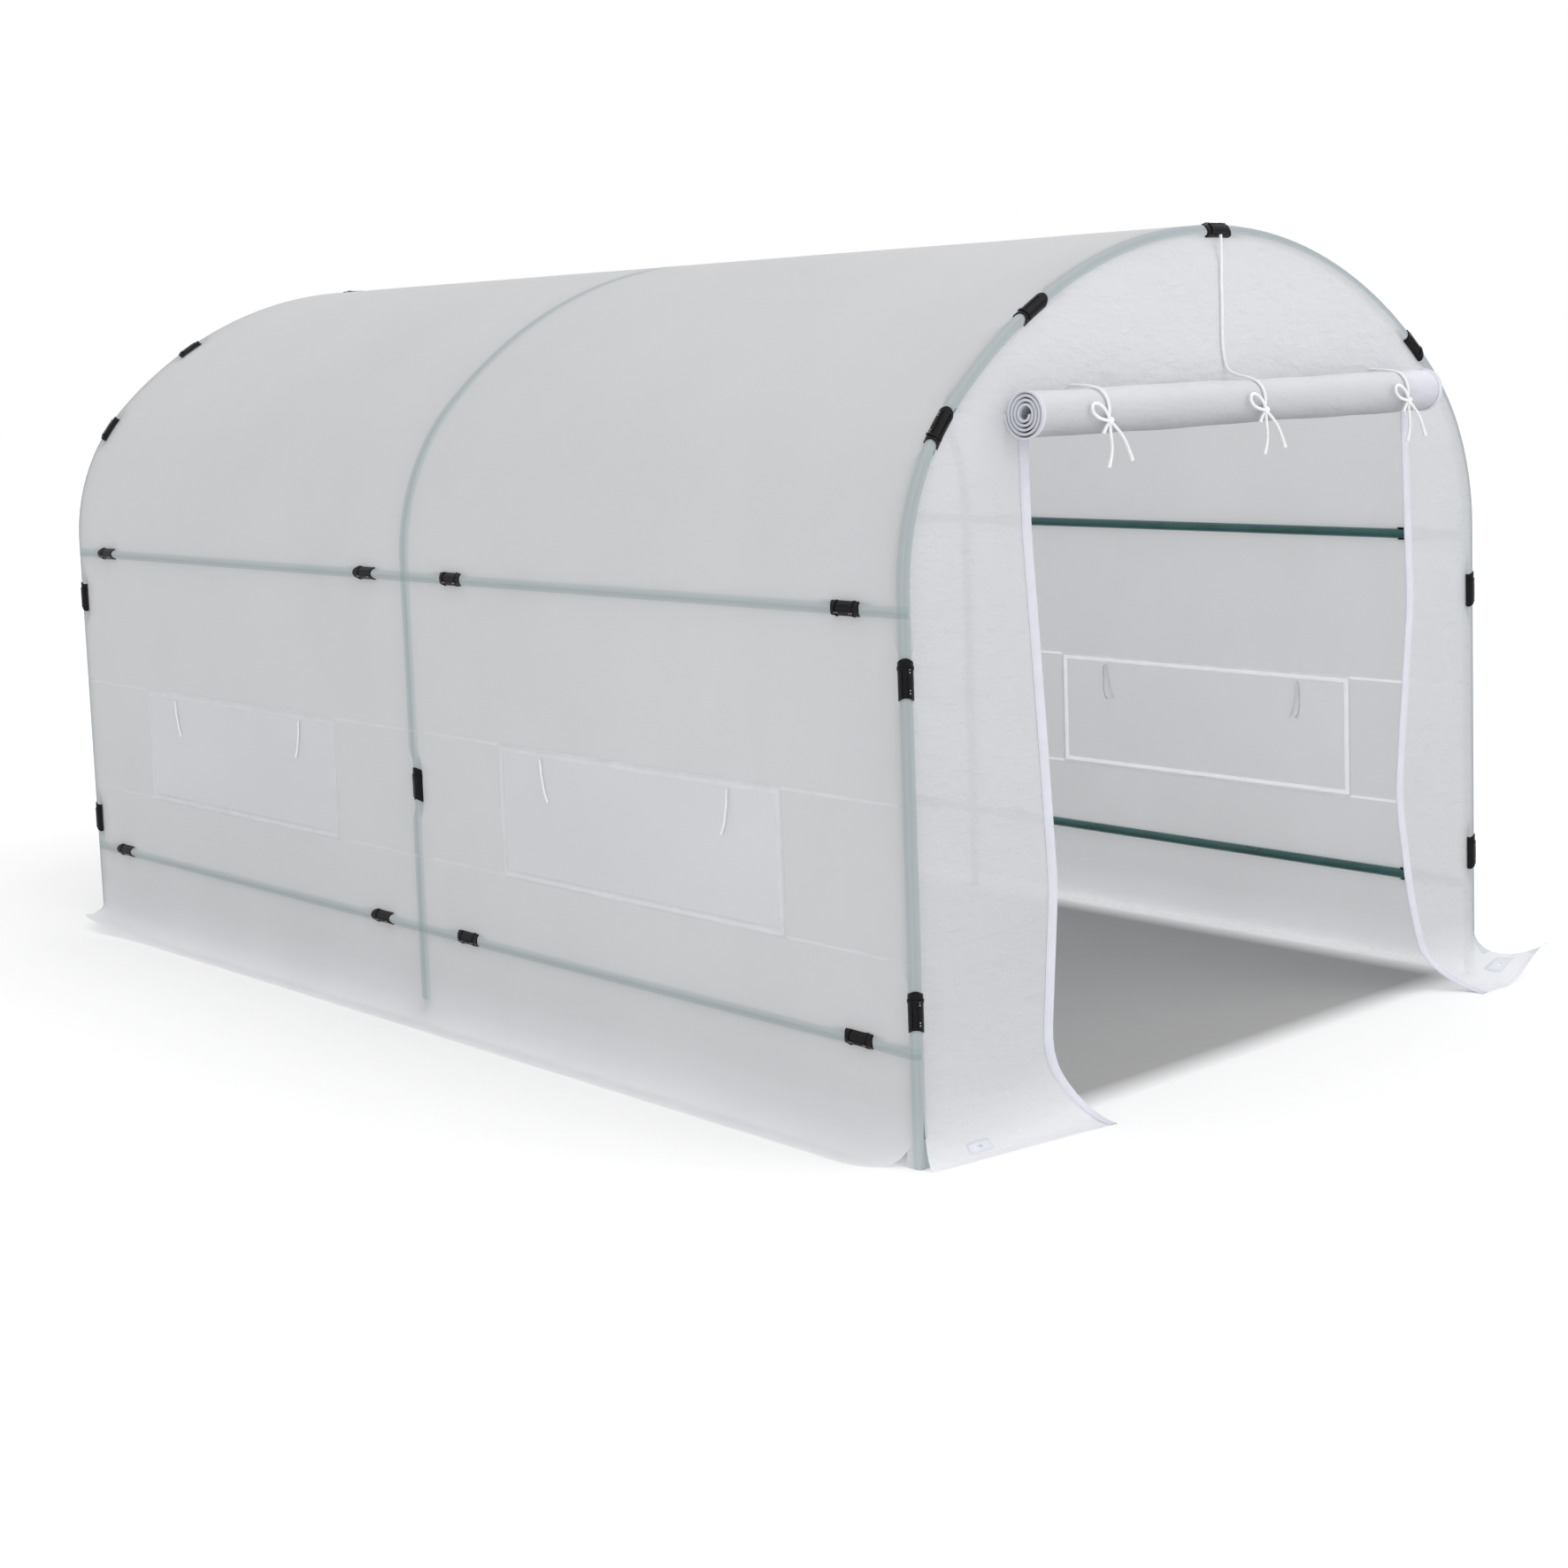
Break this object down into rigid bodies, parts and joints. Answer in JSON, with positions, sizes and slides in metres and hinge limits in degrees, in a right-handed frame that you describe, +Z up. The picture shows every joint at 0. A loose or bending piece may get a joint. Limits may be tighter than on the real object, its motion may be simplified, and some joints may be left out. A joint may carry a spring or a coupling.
{
  "type": "polytunnel greenhouse",
  "caption": "Walk-in garden tunnel with a translucent film cover clipped over a steel tube frame, roll-up windows in the sides and a doorway under a rolled-up door.",
  "frame": {"origin": "on the ground, at the middle of the tunnel's footprint", "axes": "+X across the tunnel to the right seen from the doorway, +Y along the tunnel from the doorway to the back, +Z up"},
  "size_m": [2.1916, 3.7656, 1.9072],
  "materials": {
    "tube": "gloss dark green",
    "film": "translucent milky film",
    "net": "fine woven insect net",
    "hem": "white woven edging",
    "clip": "gloss black",
    "cord": "braided white"
  },
  "bodies": {
    "root": {"back_clips": "clip", "back_hoop_crown": "tube", "back_hoop_fittings": "tube", "back_hoop_haunches": "tube", "back_hoop_legs": "tube", "back_panel": "film", "back_skirt": "film", "door_hems": "hem", "door_roll": "film", "door_tie_left": "cord", "door_tie_middle": "cord", "door_tie_right": "cord", "front_clips": "clip", "front_gable": "film", "front_hoop_crown": "tube", "front_hoop_fittings": "tube", "front_hoop_haunches": "tube", "front_hoop_legs": "tube", "front_panel_left": "film", "front_panel_right": "film", "front_skirt_left": "film", "front_skirt_right": "film", "left_rails": "tube", "left_skirt": "film", "left_wall_lower": "film", "left_wall_piers": "film", "left_wall_upper": "film", "left_window_ties": "cord", "middle_clips": "clip", "middle_hoop_crown": "tube", "middle_hoop_fittings": "tube", "middle_hoop_haunches": "tube", "middle_hoop_legs": "tube", "right_rails": "tube", "right_skirt": "film", "right_wall_lower": "film", "right_wall_piers": "film", "right_wall_upper": "film", "right_window_ties": "cord", "roof_crown_inner": "film", "roof_crown_outer": "film", "roof_haunch_lower": "film", "roof_haunch_upper": "film", "roof_ridge": "film", "window_flaps": "film", "window_nets": "net"}
  },
  "joints": []
}
